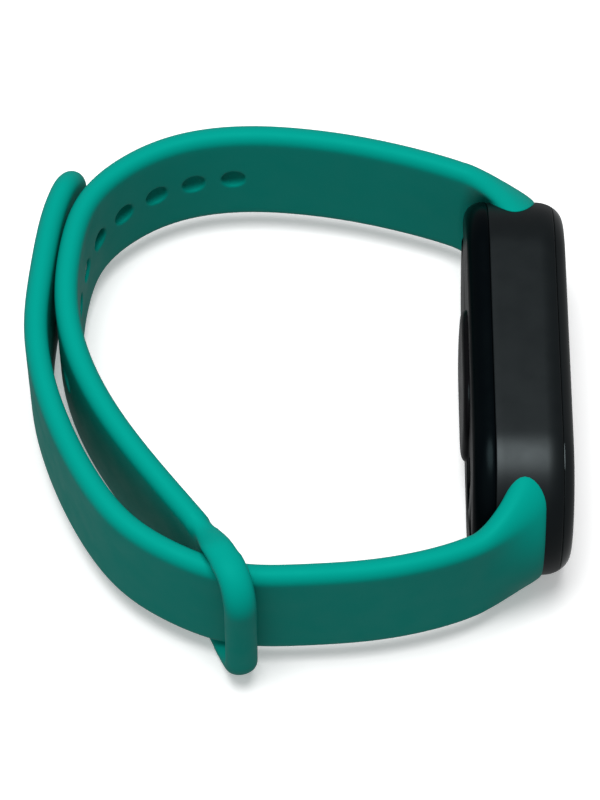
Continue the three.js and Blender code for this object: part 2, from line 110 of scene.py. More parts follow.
# The levels of the capsule's layers, from the boxes of their CAD solids.
def readLevels():
    case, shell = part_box("lower_case"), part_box("upper_frame")
    cover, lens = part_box("display_cover"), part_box("sensor_lens")
    return {
        "back": case[0].x / mm,
        "seam": shell[0].x / mm,
        "front": shell[1].x / mm,
        "coverFront": cover[1].x / mm,
        "coverLength": (cover[1].y - cover[0].y) / mm,
        "coverWidth": (cover[1].z - cover[0].z) / mm,
        "lensTop": lens[1].x / mm,
    }


levels = readLevels()


# A finished mesh object in metres: doubles welded, faces turned outwards, shaded smooth.
def putMesh(name, points, faces, weld=0.004, shortEdge=1e-7):
    mesh = bpy.data.meshes.new(name)
    mesh.from_pydata((np.asarray(points, float) * mm).tolist(), [], [list(f) for f in faces])
    mesh.validate()
    work = bmesh.new()
    work.from_mesh(mesh)
    bmesh.ops.remove_doubles(work, verts=work.verts, dist=weld * mm)
    bmesh.ops.dissolve_degenerate(work, edges=work.edges, dist=shortEdge)
    bmesh.ops.recalc_face_normals(work, faces=work.faces)
    work.to_mesh(mesh)
    work.free()
    piece = bpy.data.objects.new(name, mesh)
    bpy.context.scene.collection.objects.link(piece)
    shadeSmooth(piece)
    return piece


def shadeSmooth(piece):
    polygons = piece.data.polygons
    polygons.foreach_set("use_smooth", np.ones(len(polygons), bool))


# Quads of a rows by columns grid whose first vertex is number start.
def gridFaces(rows, columns, start=0, wrapColumns=False):
    index = start + np.arange(rows * columns).reshape(rows, columns)
    if wrapColumns:
        index = np.concatenate([index, index[:, :1]], axis=1)
    a, b, c, d = index[:-1, :-1], index[:-1, 1:], index[1:, 1:], index[1:, :-1]
    return np.stack([a, b, c, d], -1).reshape(-1, 4)


# A smooth curve through given points: a natural cubic spline over chord length, sampled
# every quarter millimetre, then averaged over neighbours so that its bend changes gently.
class Course:
    sample = 0.25          # distance between two samples
    neighbours = 40        # samples averaged on each side

    def __init__(self, points, spread):
        knots = np.array(points, float)
        chord = np.concatenate([[0], np.cumsum(np.linalg.norm(np.diff(knots, axis=0), axis=1))])
        fine = np.arange(0, chord[-1], self.sample)
        curve = self.spline(chord, knots, fine)
        far = self.neighbours
        weights = np.exp(-0.5 * (np.arange(-far, far + 1) * self.sample / spread) ** 2)
        weights /= weights.sum()
        head = 2 * curve[0] - curve[far:0:-1]
        tail = 2 * curve[-1] - curve[-2:-far - 2:-1]
        padded = np.concatenate([head, curve, tail])
        curve = np.stack([np.convolve(padded[:, k], weights, "valid") for k in (0, 1)], 1)
        self.points = curve
        steps = np.linalg.norm(np.diff(curve, axis=0), axis=1)
        self.distance = np.concatenate([[0], np.cumsum(steps)])
        self.length = self.distance[-1]
        run = np.gradient(curve, self.distance, axis=0)
        self.run = run / np.linalg.norm(run, axis=1)[:, None]

    # The natural cubic spline: its second derivatives solve a three-band system.
    @staticmethod
    def spline(chord, knots, fine):
        count = len(chord)
        step = np.diff(chord)
        matrix = np.eye(count)
        right = np.zeros((count, 2))
        inner = np.arange(1, count - 1)
        matrix[inner, inner - 1] = step[:-1]
        matrix[inner, inner] = 2 * (step[:-1] + step[1:])
        matrix[inner, inner + 1] = step[1:]
        slope = np.diff(knots, axis=0) / step[:, None]
        right[1:-1] = 6 * np.diff(slope, axis=0)
        bend = np.linalg.solve(matrix, right)
        k = np.clip(np.searchsorted(chord, fine) - 1, 0, count - 2)
        h = step[k][:, None]
        a = (chord[k + 1] - fine)[:, None]
        b = (fine - chord[k])[:, None]
        return (
            (bend[k] * a**3 + bend[k + 1] * b**3) / (6 * h)
            + (knots[k] / h - bend[k] * h / 6) * a
            + (knots[k + 1] / h - bend[k + 1] * h / 6) * b
        )

    # Point and direction at any distances, given as an array of any shape. Past either end the
    # course goes straight on.
    def at(self, s):
        past = s - np.clip(s, 0, self.length)
        u = np.interp(s, self.distance, self.run[:, 0])
        v = np.interp(s, self.distance, self.run[:, 1])
        x = np.interp(s, self.distance, self.points[:, 0]) + past * u
        y = np.interp(s, self.distance, self.points[:, 1]) + past * v
        return x, y, u, v

    # The distance at which the course passes closest to a point.
    def nearest(self, x, y):
        return self.distance[np.argmin(np.hypot(self.points[:, 0] - x, self.points[:, 1] - y))]


strap = {
    "half": 8.25,          # half of the width
    "thick": 2.8,
    "layGap": 0.3,         # between the tail and the strap under it
    "tipPastStud": 9.0,
    "tipLift": 1.4,        # the tip springs away from the strap under it
    "rim": 1.42,           # how far in from the edge the rounding reaches
    "rimSteps": 7,
    "flankSteps": 7,
    "band": 2.6,           # half width of the middle band that carries the holes
    "bandSteps": 8,
    "sink": 0.25,          # the root's edge reaches this far into the capsule
    "spread": 1.6,         # how widely the courses are averaged
    "tipCorner": 5.0,
    "studHole": 5,         # the stud sits in this hole, counted from 0
    "weld": 0.01,
}

root = {
    "half": 9.85,          # half of its width on the capsule
    "rim": 2.3,
    "middle": 6.6,         # level of its rims on the capsule
    "front": 9.1,
    "back": 4.3,
    "backSag": 1.2,        # lower in the middle than at the rims
    "reach": 11.0,         # it has become plain strap at this distance
    "steps": 26,
    "crowd": 1.3,          # above 1 the steps crowd together at the capsule
    # The columns' direction and strength at the capsule: at the rims, and what the faces add.
    "rimLean": 0.05,
    "faceLean": {True: 0.3, False: 0.35},
    "leave": 0.8,
    "faceLeave": {True: -0.35, False: -0.25},
    "arrive": 0.9,
}

holes = {"count": 9, "pitch": 5.2, "radius": 1.48, "round": 0.34, "first": (-27.55, 31.55)}

wristDepth, wristHalfSpan = 46.85, 31.6
capsuleEnd = capsule["length"] / 2

# The same courses as the CAD straps follow, in shares of the wrist opening.
holeShares = [
    (0.067, 0.873), (0.238, 0.946), (0.409, 0.99), (0.58, 1.0), (0.75, 0.949), (0.864, 0.853),
    (0.956, 0.7), (0.994, 0.5), (1.003, 0.253), (0.974, 0.027), (0.896, -0.234),
    (0.801, -0.449), (0.71, -0.628), (0.647, -0.75), (0.612, -0.834), (0.59, -0.93),
    (0.563, -1.0), (0.553, -1.07),
]
plainShares = [
    (0.067, -0.873), (0.238, -0.927), (0.409, -0.946), (0.58, -0.937), (0.708, -0.864),
    (0.836, -0.734), (0.921, -0.57), (1.006, -0.316), (1.06, -0.063), (1.078, 0.17),
]


def fromShares(shares):
    return [(-depth * wristDepth, span * wristHalfSpan) for depth, span in shares]


# Both straps leave the capsule's end square to it and then lean over towards the wrist.
def rootPoints(side):
    lead = [(6.6, 6.6), (6.6, 4.2), (6.3, 2.3), (4.2, 0.1)]
    return [(level, side * (capsuleEnd - back)) for level, back in lead]


holeCourse = Course(rootPoints(1) + fromShares(holeShares), strap["spread"])
firstHole = holeCourse.nearest(*holes["first"])
studAt = firstHole + strap["studHole"] * holes["pitch"]


# A point of the plain strap's course, which lies outside the holed strap, at a distance past
# the stud.
def besideHoleStrap(past):
    x, y, u, v = holeCourse.at(studAt + past)
    lift = strap["tipLift"] * min(past / strap["tipPastStud"], 0) ** 2
    off = strap["thick"] + strap["layGap"] + lift
    return (float(x + v * off), float(y - u * off))


besides = (5, 0, -strap["tipPastStud"] / 2, -strap["tipPastStud"])
plainKnots = rootPoints(-1) + fromShares(plainShares) + [besideHoleStrap(past) for past in besides]
plainCourse = Course(plainKnots, strap["spread"])
print("courses:", round(holeCourse.length, 1), "and", round(plainCourse.length, 1), "mm long")


# Eases from 0 to 1: three times the square less twice the cube.
def smoothStep(t):
    t = np.clip(t, 0, 1)
    return t * t * (3 - 2 * t)


# Height of a rounded edge: a quarter ellipse over the first reach millimetres from the edge.
def edgeHeight(distance, reach):
    return np.sqrt(np.clip(1 - (1 - np.clip(distance / reach, 0, 1)) ** 2, 0, 1))


# A point of a strap from its distance along the course, its place across and its height out
# from the middle: the course's point, plus the outward direction times the height.
def strapPoint(course, side, s, z, height):
    x, y, u, v = course.at(s)
    return np.stack([x + side * v * height, y - side * u * height, np.broadcast_to(z, x.shape)], -1)


# Places across the strap for a half width: rims close together at the edges, flanks between
# them and the middle band, the same count at every station.
def acrossStrap(half, rim):
    k = np.arange(strap["rimSteps"] + 1) / strap["rimSteps"]
    edge = half[..., None] - rim[..., None] * (1 - np.cos(k * np.pi / 2))
    f = np.arange(1, strap["flankSteps"] + 1) / strap["flankSteps"]
    inner = (half - rim)[..., None]
    flank = inner + (strap["band"] - inner) * f
    side = np.concatenate([edge, flank], -1)
    middle = np.linspace(strap["band"], -strap["band"], strap["bandSteps"] + 1)[1:-1]
    middle = np.broadcast_to(middle, half.shape + middle.shape)
    return np.concatenate([side, middle, -side[..., ::-1]], -1)


# The thick end of a strap, from the capsule to the strap's own section. Each column is a cubic
# Hermite curve: it starts on the capsule's round end, square to it, and arrives in the strap
# running along the course. On the capsule the section is deep, with fully rounded rims.
def rootPoints3d(course, side, columns, outer):
    half0, rim0 = root["half"], root["rim"]
    half1, rim1 = np.array(strap["half"]), np.array(strap["rim"])
    wide = acrossStrapAlong(half0, rim0, columns, strap["half"], strap["rim"])
    swell = edgeHeight(half0 - np.abs(wide), rim0)
    sag = root["backSag"] * (1 - (wide / half0) ** 2)
    up, down = root["front"] - root["middle"], root["middle"] - root["back"] + sag
    level = root["middle"] + swell * (up if outer else -down)
    radius = capsule["width"] / 2
    centre = (capsule["length"] - capsule["width"]) / 2
    place = np.stack([level, side * (centre + np.sqrt(radius**2 - wide**2)), wide], -1)
    inward = np.stack([0 * wide, side * np.sqrt(radius**2 - wide**2), wide], -1) / radius
    s1 = np.full(columns.shape, root["reach"])
    height = strap["thick"] / 2 * edgeHeight(half1 - np.abs(columns), rim1)
    arrive = strapPoint(course, side, s1, columns, height if outer else -height)
    span = np.linalg.norm(arrive - place, axis=1)[:, None]
    lean = root["rimLean"] + root["faceLean"][outer] * swell
    leave = np.stack([-lean, side * (1 - lean / 2), 0 * lean], -1)
    leave = leave * span * (root["leave"] + root["faceLeave"][outer] * swell[:, None])
    _, _, u, v = course.at(s1)
    run = np.stack([u, v, 0 * u], -1) * span * root["arrive"]
    t = (np.linspace(0, 1, root["steps"]) ** root["crowd"])[:, None, None]
    curve = (
        (2 * t**3 - 3 * t**2 + 1) * place
        + (t**3 - 2 * t**2 + t) * leave
        + (3 * t**2 - 2 * t**3) * arrive
        + (t**3 - t**2) * run
    )
    return np.concatenate([(place - inward * strap["sink"])[None], curve])


# Moves the columns chosen at one station to the half width and rim of every other station.
def acrossStrapAlong(half, rim, columns, half0, rim0):
    size = np.abs(columns)
    edge0 = half0 - rim0
    onRim = size > edge0
    rimPlace = half - (half0 - size) / rim0 * rim
    flank = (size - strap["band"]) / (edge0 - strap["band"])
    flankPlace = strap["band"] + flank * (half - rim - strap["band"])
    place = np.where(onRim, rimPlace, np.where(size > strap["band"], flankPlace, size))
    return np.sign(columns) * place


# One strap as points and faces: two faces, outer and inner, that meet at the rims, with the
# root's rows first and then the stations along the course.
def strapSheets(course, side, stations, sizes, skip):
    points, faces, count = [], [], 0
    columns = acrossStrap(np.array(strap["half"]), np.array(strap["rim"]))
    for outer in (True, False):
        thick = rootPoints3d(course, side, columns, outer)
        half, rim, tipDistance = sizes(stations)
        z = acrossStrap(half, rim)
        s = np.broadcast_to(stations[:, None], z.shape)
        height = sheetHeight(s, z, half[:, None], rim[:, None], tipDistance)
        rest = strapPoint(course, side, s, z, height if outer else -height)
        grid = np.concatenate([thick, rest])
        quads = gridFaces(*grid.shape[:2], start=count)
        if skip is not None:
            rows, across = np.divmod(quads[:, 0] - count, grid.shape[1])
            row = rows - thick.shape[0]
            inside = row >= 0
            row = np.clip(row, 0, None)
            middle = np.abs((z[row, across] + z[row, across + 1]) / 2) < strap["band"]
            after = np.minimum(row + 1, len(s) - 1)
            quads = quads[~(inside & middle & skip((s[row, 0] + s[after, 0]) / 2))]
        faces.append(quads)
        points.append(grid.reshape(-1, 3))
        count += grid.shape[0] * grid.shape[1]
    top = np.arange(columns.size)
    low = points[0].shape[0] + top
    faces.append(np.stack([top[:-1], top[1:], low[1:], low[:-1]], -1))
    return points, faces, count


# Height of a strap's face over its middle: full inside, rounded off towards the nearest edge.
def sheetHeight(s, z, half, rim, tipDistance):
    distance = tipDistance(s, np.abs(z), half)
    return strap["thick"] / 2 * edgeHeight(distance, rim)


# One round hole through the strap: in the square around it, spokes run from the square's
# border in to the circle, over a small rounding and down the wall to the strap's middle.
def holePatch(course, side, centre, start):
    per = strap["bandSteps"]
    f = np.arange(per) / per * 2 - 1
    one = np.ones(per)
    sides = ((f, -one), (one, f), (-f, one), (-one, -f))
    square = np.concatenate([np.stack(pair, -1) for pair in sides])
    length = np.linalg.norm(square, axis=1)
    direction = square / length[:, None]
    border = length * strap["band"]
    deep, roundOff, radius = strap["thick"] / 2, holes["round"], holes["radius"]
    rimDistance = radius + roundOff * (1 - np.cos(np.linspace(0, np.pi / 2, 6)))
    rimHeight = deep - roundOff + roundOff * np.sin(np.linspace(0, np.pi / 2, 6))
    wallHeight = np.array([0.0, 0.5 * (deep - roundOff)])
    distances = np.concatenate([np.full(2, radius), rimDistance])
    heights = np.concatenate([wallHeight, rimHeight])
    t = np.array([0.3, 0.65, 1.0])[:, None]
    spokes = np.concatenate([
        np.broadcast_to(distances[:, None], (len(distances), len(border))),
        distances[-1] * (1 - t) + border[None] * t,
    ])
    height = np.concatenate([heights, np.full(3, deep)])[:, None] + 0 * spokes
    s = centre + spokes * direction[:, 0]
    z = spokes * direction[:, 1]
    points, faces = [], []
    for outer in (1, -1):
        points.append(strapPoint(course, side, s, z, outer * height).reshape(-1, 3))
        faces.append(gridFaces(*s.shape, start=start, wrapColumns=True))
        start += s.size
    return points, faces, start


loop = {
    "barWidth": 3.75,      # along the strap that runs through it
    "armThick": 2.15,
    "inside": 8.6,         # half of the room between the arms
    "corner": 4.0,
    "reach": 8.0,          # from the strap's end to the bar
    "rootBack": 5.0,       # the arms begin this far back, inside the strap's rims
    "domeOut": 1.5,        # depth of the bar's section outwards and inwards
    "domeIn": 1.1,
    "shoulder": 0.3,       # the arms stand this much outwards where they leave the strap
    "square": 2.1,         # power of the superellipse, 2 for an ellipse
    "steps": 150,
    "round": 40,
    "ends": (0.95, 0.8),   # half sizes of the section where the arms begin, inside the rims
    "flare": (3.4, 5.6),   # the strap widens from this far before its end, over this length
    "inFromRim": 0.08,     # the strap stays this much inside the arms
    "blunt": 0.4,          # corner radius of the strap's end between the arms
    "ease": (4.2, 22),     # reach and rounds of the smoothing at the arms' roots
    "easeAt": (0.5, 9.2),  # where: before the strap's end, and out from the middle
}


# Half width of the holed strap where it widens into the loop.
def flaredHalf(s, strapEnd):
    wide = loop["inside"] + loop["armThick"]
    before, length = loop["flare"]
    return strap["half"] + (wide - strap["half"]) * smoothStep((s - strapEnd + before) / length)


# The loop: a rounded section carried round a U in the plane of the strap. The U has two arms
# and a bar with quarter-circle corners; the section is a superellipse, deeper on its outside.
def loopRing(course, side, strapEnd):
    middle = loop["inside"] + loop["armThick"] / 2
    start = strapEnd - loop["rootBack"]
    arm = course.length - loop["corner"] - start
    bend = loop["corner"] * np.pi / 2
    bar = 2 * (middle - loop["corner"])
    total = 2 * arm + 2 * bend + bar
    along = np.linspace(0, total, loop["steps"])
    d = np.minimum(along, total - along)
    turn = np.clip((d - arm) / loop["corner"], 0, np.pi / 2)
    s = start + np.clip(d, 0, arm) + loop["corner"] * np.sin(turn)
    z = middle - loop["corner"] * (1 - np.cos(turn)) - np.clip(d - arm - bend, 0, None)
    z = z + flaredHalf(s, strapEnd) - loop["inside"] - loop["armThick"]
    flip = np.where(along > total / 2, -1.0, 1.0)
    into = smoothStep((s - start) / (loop["rootBack"] + 1.5))
    onBar = smoothStep((d - arm + 1) / (bend + 1))
    endWide, endDeep = loop["ends"]
    wide = endWide + (loop["barWidth"] / 2 - endWide) * into
    lift = loop["shoulder"] * into * (1 - smoothStep((s - strapEnd) / 4))
    armDeep = endDeep + (loop["armThick"] / 2 - endDeep) * into
    angle = np.linspace(0, 2 * np.pi, loop["round"], endpoint=False)
    power = 2 / loop["square"]
    c = np.sign(np.cos(angle)) * np.abs(np.cos(angle)) ** power
    e = np.sign(np.sin(angle)) * np.abs(np.sin(angle)) ** power
    barDeep = np.where(c > 0, loop["domeOut"], loop["domeIn"])
    deep = armDeep[:, None] * (1 - onBar[:, None]) + barDeep * onBar[:, None]
    sectionS = s[:, None] + np.sin(turn)[:, None] * deep * c
    sectionZ = (z[:, None] + np.cos(turn)[:, None] * deep * c) * flip[:, None]
    points = strapPoint(course, side, sectionS, sectionZ, lift[:, None] + wide[:, None] * e)
    faces = gridFaces(*sectionS.shape, wrapColumns=True).tolist()
    ends = [list(range(loop["round"])), list(range(sectionS.size - loop["round"], sectionS.size))]
    return putMesh("loop_ring", points.reshape(-1, 3), faces + ends)


# Joins another body to a piece, or cuts it away.
def combine(piece, other, operation):
    change = piece.modifiers.new("combine", "BOOLEAN")
    change.operation = operation
    change.solver = "EXACT"
    change.object = other
    applyModifiers(piece)
    bpy.data.objects.remove(other)


# Turns what the modifiers show into the piece's own mesh.
def applyModifiers(piece):
    graph = bpy.context.evaluated_depsgraph_get()
    made = bpy.data.meshes.new_from_object(piece.evaluated_get(graph))
    piece.modifiers.clear()
    old = piece.data
    piece.data = made
    bpy.data.meshes.remove(old)
    shadeSmooth(piece)


# Rounds the crease where the loop's arms leave the strap, by averaging neighbours there.
def easeJunction(piece, centres, reach, rounds):
    work = bmesh.new()
    work.from_mesh(piece.data)
    bmesh.ops.triangulate(work, faces=[f for f in work.faces if len(f.verts) > 4])
    near = [v for v in work.verts if min((v.co - c).length for c in centres) < reach * mm]
    for _ in range(rounds):
        bmesh.ops.smooth_vert(
            work, verts=near, factor=0.5, use_axis_x=True, use_axis_y=True, use_axis_z=True
        )
    bmesh.ops.recalc_face_normals(work, faces=work.faces)
    work.to_mesh(piece.data)
    work.free()


# Distance in from the outline of an end with rounded corners.
def tipDistanceFor(end, corner):
    def distance(s, z, half):
        a, b = end - s, half - z
        inCorner = (a < corner) & (b < corner)
        return np.where(inCorner, corner - np.hypot(corner - a, corner - b), np.minimum(a, b))
    return distance


# Half width at a distance from an end with rounded corners.
def cornerHalf(half, left, corner):
    a = np.clip(left, 0, corner)
    return half - corner + np.sqrt(np.clip(corner**2 - (corner - a) ** 2, 0, None))


def makeHoleStrap():
    side = 1
    strapEnd = holeCourse.length - loop["reach"]
    bandStart = firstHole - holes["pitch"] / 2
    bandEnd = bandStart + holes["count"] * holes["pitch"]
    corner = loop["blunt"]
    fineFrom = strapEnd - 6
    stations = np.concatenate([
        np.linspace(root["reach"], bandStart, 44)[1:-1],
        np.linspace(bandStart, bandEnd, holes["count"] * strap["bandSteps"] + 1),
        np.linspace(bandEnd, fineFrom, 24)[1:-1],
        np.linspace(fineFrom, strapEnd - corner, 22)[:-1],
        strapEnd - corner * np.cos(np.linspace(0, np.pi / 2, 9)),
    ])

    def sizes(s):
        half = cornerHalf(flaredHalf(s, strapEnd) - loop["inFromRim"], strapEnd - s, corner)
        return half, strap["rim"] + 0 * s, lambda a, z, h: np.minimum(h - z, strapEnd - a)

    def skip(s):
        return (s > bandStart) & (s < bandEnd)

    points, faces, count = strapSheets(holeCourse, side, stations, sizes, skip)
    for number in range(holes["count"]):
        centre = firstHole + number * holes["pitch"]
        more, moreFaces, count = holePatch(holeCourse, side, centre, count)
        points += more
        faces += moreFaces
    quads = np.concatenate(faces).tolist()
    piece = putMesh("holed_strap", np.concatenate(points), quads, strap["weld"])
    closeEnds(piece)
    combine(piece, loopRing(holeCourse, side, strapEnd), "UNION")
    before, out = loop["easeAt"]
    x, y, _, _ = holeCourse.at(strapEnd - before)
    centres = [Vector((float(x), float(y), z)) * mm for z in (out, -out)]
    easeJunction(piece, centres, *loop["ease"])
    return piece


# Fills any opening that is left, such as the blunt end between the loop's arms.
def closeEnds(piece):
    work = bmesh.new()
    work.from_mesh(piece.data)
    openEdges = [e for e in work.edges if e.is_boundary]
    if openEdges:
        bmesh.ops.holes_fill(work, edges=openEdges, sides=0)
        bmesh.ops.recalc_face_normals(work, faces=work.faces)
    work.to_mesh(piece.data)
    work.free()
    shadeSmooth(piece)
    print(piece.name, "open edges closed:", len(openEdges))


# Splits a piece into triangles, so that no face of the thin tip
# folds onto the face behind it.
def splitFaces(piece):
    work = bmesh.new()
    work.from_mesh(piece.data)
    bmesh.ops.triangulate(work, faces=work.faces)
    work.to_mesh(piece.data)
    work.free()


def makePlainStrap():
    end = plainCourse.length
    corner = strap["tipCorner"]
    rim = strap["rim"]
    stations = np.concatenate([
        np.linspace(root["reach"], end - corner, 116)[1:-1],
        end - rim - np.linspace(corner - rim, 0, 12)[:-1],
        end - rim + rim * np.sin(np.linspace(0, np.pi / 2, 10)),
    ])
    inFromEdge = tipDistanceFor(end, corner)

    def sizes(s):
        half = cornerHalf(np.full_like(s, strap["half"]), end - s, corner)
        return half, rim + 0 * s, lambda a, z, _: inFromEdge(a, z, strap["half"])

    points, faces, _ = strapSheets(plainCourse, -1, stations, sizes, None)
    quads = np.concatenate(faces).tolist()
    piece = putMesh("plain_strap", np.concatenate(points), quads, strap["weld"])
    closeEnds(piece)
    splitFaces(piece)
    return piece


# A closed body of stadium sections: each level is a height along X and how far its outline is
# drawn in, and the two end levels are closed by flat faces.
def stadiumBody(name, length, width, profile):
    r = width / 2
    c = length / 2 - r
    half = np.linspace(-np.pi / 2, np.pi / 2, capsule["around"])
    run = np.linspace(0, 1, capsule["straight"])[1:-1]
    straight = c - 2 * c * run
    centreY = np.concatenate([np.full(half.size, c), straight, np.full(half.size, -c), -straight])
    ny = np.concatenate([np.cos(half), 0 * run, -np.cos(half), 0 * run])
    nz = np.concatenate([np.sin(half), 1 + 0 * run, -np.sin(half), 0 * run - 1])
    x, inset = np.array(profile, float).T
    y = centreY + (r - inset[:, None]) * ny
    z = (r - inset[:, None]) * nz
    points = np.stack([np.broadcast_to(x[:, None], y.shape), y, z], -1)
    count = y.shape[1]
    faces = gridFaces(*y.shape, wrapColumns=True).tolist()
    faces += [list(range(count)), list(range(y.size - count, y.size))]
    return putMesh(name, points.reshape(-1, 3), faces)


# A quarter ellipse from one level to another, square to the face it leaves.
def quarter(x0, inset0, x1, inset1, count):
    return [
        (x0 + (x1 - x0) * (1 - np.cos(a)), inset0 + (inset1 - inset0) * np.sin(a))
        for a in np.linspace(0, np.pi / 2, count)
    ]


def makeCase():
    back, seam = levels["back"], levels["seam"]
    profile = [(back, 4.5), (back, 2.2)]
    profile += quarter(back, 2.0, seam - 0.5, 0.04, 16)
    seamLip = [(0.16, 0.05), (0.08, 0.09), (0.03, 0.2), (0.03, 1.2), (0.03, 5.0)]
    profile += [(seam - under, inset) for under, inset in seamLip]
    case = stadiumBody("case_shell", capsule["length"], capsule["width"], profile)
    recess, bore, notch = backDetail["recess"], backDetail["bore"], backDetail["notch"]
    cuts = [(recess["at"], 0, recess, back + recess["deep"])]
    cuts += [(recess["at"], z, bore, back + bore["deep"]) for z in (-bore["apart"], bore["apart"])]
    notchAt = notch["from"] + notch["halfY"]
    cuts += [(y, 0, notch, seam - notch["roof"]) for y in (-notchAt, notchAt)]
    for y, z, outline, high in cuts:
        combine(case, prism("cutter", y, z, outline, back - 1, high), "DIFFERENCE")
    return case


# What is cut into the back of the case: the charging recess with a bore for each contact, and a
# notch at each end for a release button's pad.
backDetail = {
    "recess": {"at": -13.6, "halfY": 1.8, "halfZ": 4.3, "corner": 1.6, "deep": 0.4},
    "bore": {"apart": 2.5, "halfY": 1.3, "halfZ": 1.3, "corner": 1.3, "deep": 1.6},
    "notch": {"from": 19.4, "halfY": 4.0, "halfZ": 2.1, "corner": 0.5, "roof": 0.5},
}


# A rounded rectangle as the centres of its corner arcs and the directions out from them.
def roundedOutline(size, perArc):
    turn = np.arange(4)[:, None] * np.pi / 2 + np.linspace(0, np.pi / 2, perArc)
    signY = np.array([1, -1, -1, 1])[:, None] + 0 * turn
    signZ = np.array([1, 1, -1, -1])[:, None] + 0 * turn
    centreY = signY * (size["halfY"] - size["corner"])
    centreZ = signZ * (size["halfZ"] - size["corner"])
    return [a.ravel() for a in (centreY, centreZ, np.cos(turn), np.sin(turn))]


# A straight body with a rounded rectangle for its outline, from one level along X to another.
def prism(name, centreY, centreZ, size, low, high):
    cy, cz, ny, nz = roundedOutline(size, 12)
    y, z = cy + size["corner"] * ny, cz + size["corner"] * nz
    x = np.array([[low], [high]])
    points = np.stack([x + 0 * y, centreY + y + 0 * x, centreZ + z + 0 * x], -1)
    faces = gridFaces(2, y.size, wrapColumns=True).tolist()
    faces += [list(range(y.size)), list(range(y.size, 2 * y.size))]
    return putMesh(name, points.reshape(-1, 3), faces)


# The front edge is one quarter ellipse, carried by the frame and then by the glass: from the
# frame's side at rise below the glass's front, to drawIn in from the capsule's outline.
frontEdge = {"rise": 3.3, "drawIn": 2.6, "side": 0.08}


def frontCurve(low, high, count):
    start = levels["coverFront"] - frontEdge["rise"]
    a, b = (math.asin(min((x - start) / frontEdge["rise"], 1)) for x in (low, high))
    t = np.linspace(a, b, count)
    x = start + frontEdge["rise"] * np.sin(t)
    inset = frontEdge["side"] + frontEdge["drawIn"] * (1 - np.cos(t))
    return list(zip(x, inset))


def makeFrame():
    seam, front = levels["seam"], levels["front"]
    edge = [(seam, 5.0), (seam, 1.0), (seam, 0.2), (seam + 0.05, 0.1)]
    turnAt = levels["coverFront"] - frontEdge["rise"]
    side = [(x, frontEdge["side"]) for x in np.linspace(seam + 0.15, turnAt, 8)[:-1]]
    inner = [(front, 1.0), (front, 1.4), (front, 5.0)]
    profile = edge + side + frontCurve(turnAt, front, 10) + inner
    return stadiumBody("frame_shell", capsule["length"], capsule["width"], profile)


def makeGlass():
    front, low = levels["coverFront"], levels["front"] + 0.06
    inset = (capsule["length"] - levels["coverLength"]) / 2
    curve = [(x, drawn - inset) for x, drawn in frontCurve(low + 0.02, front, 18)]
    under = [(low, 4.0), (low, 0.6), (low, curve[0][1] + 0.04)]
    profile = under + curve + [(front, 3.2), (front, 4.5)]
    return stadiumBody("glass_cover", levels["coverLength"], levels["coverWidth"], profile)


window = {
    "halfY": 8.9,
    "halfZ": 6.8,
    "corner": 5.5,
    "sunk": 1.2,           # how far it goes into the case
    "rise": 0.62,          # height of its soft edge
    "soft": 1.15,          # how far in that edge is rounded
}


# The sensor window: a rounded rectangle drawn in level by level, with a soft edge.
def makeLens():
    cy, cz, ny, nz = roundedOutline(window, 20)
    base, rise, soft = levels["back"] + window["sunk"], window["rise"], window["soft"]
    profile = [(base, 3.0), (base, 0.0), (rise, 0.0)]
    for a in np.linspace(0, math.pi / 2, 10):
        profile.append((rise - rise * math.sin(a), soft * (1 - math.cos(a))))
    profile.append((0.0, 3.5))
    x, inset = np.array(profile).T
    y = cy + (window["corner"] - inset[:, None]) * ny
    z = cz + (window["corner"] - inset[:, None]) * nz
    points = np.stack([np.broadcast_to(x[:, None], y.shape), y, z], -1)
    count = y.shape[1]
    faces = gridFaces(*y.shape, wrapColumns=True).tolist()
    faces += [list(range(count)), list(range(y.size - count, y.size))]
    return putMesh("sensor_window", points.reshape(-1, 3), faces)


# A turned body about a line: a profile of distance out and height, closed on the axis.
def turnedBody(name, profile, origin, axis, count=48):
    radius, height = np.array(profile, float).T
    axis = np.array(axis, float)
    side = np.cross(axis, [0, 0, 1.0])
    side /= np.linalg.norm(side)
    up = np.cross(axis, side)
    angle = np.linspace(0, 2 * np.pi, count, endpoint=False)
    ring = np.cos(angle)[:, None] * side + np.sin(angle)[:, None] * up
    points = np.array(origin) + height[:, None, None] * axis + radius[:, None, None] * ring
    faces = gridFaces(len(profile), count, wrapColumns=True).tolist()
    return putMesh(name, points.reshape(-1, 3), faces)


stud = {
    "shank": 1.35,         # radius of the pin
    "disk": 3.0,           # radius of the disk on the outside
    "diskThick": 1.0,
    "start": -1.1,         # the pin's end, from the holed strap's middle
    "proud": 0.65,         # from the tail's outer face to the disk's edge
    "dome": 0.3,
}


# The stud, turned about the line square to both straps: a pin with a domed disk.
def makeStud():
    x, y, u, v = (float(a) for a in holeCourse.at(studAt))
    outward = (v, -u, 0.0)
    face = strap["thick"] * 1.5 + stud["proud"]
    shank, disk, start = stud["shank"], stud["disk"], stud["start"]
    under = face - stud["diskThick"]
    profile = [(0, start), (shank - 0.35, start), (shank - 0.1, start + 0.1)]
    profile += [(shank, start + 0.35), (shank, under)]
    profile += [(disk - 0.1, under), (disk, under + 0.1), (disk, face - 0.02)]
    for a in (0.5, 1.0, 1.57):
        profile.append((disk - 0.5 * (1 - math.cos(a)), face - 0.02 + 0.22 * math.sin(a)))
    profile += [(disk / 2, face + stud["dome"] - 0.02), (0, face + stud["dome"])]
    return turnedBody("strap_stud", profile, (x, y, 0.0), outward)


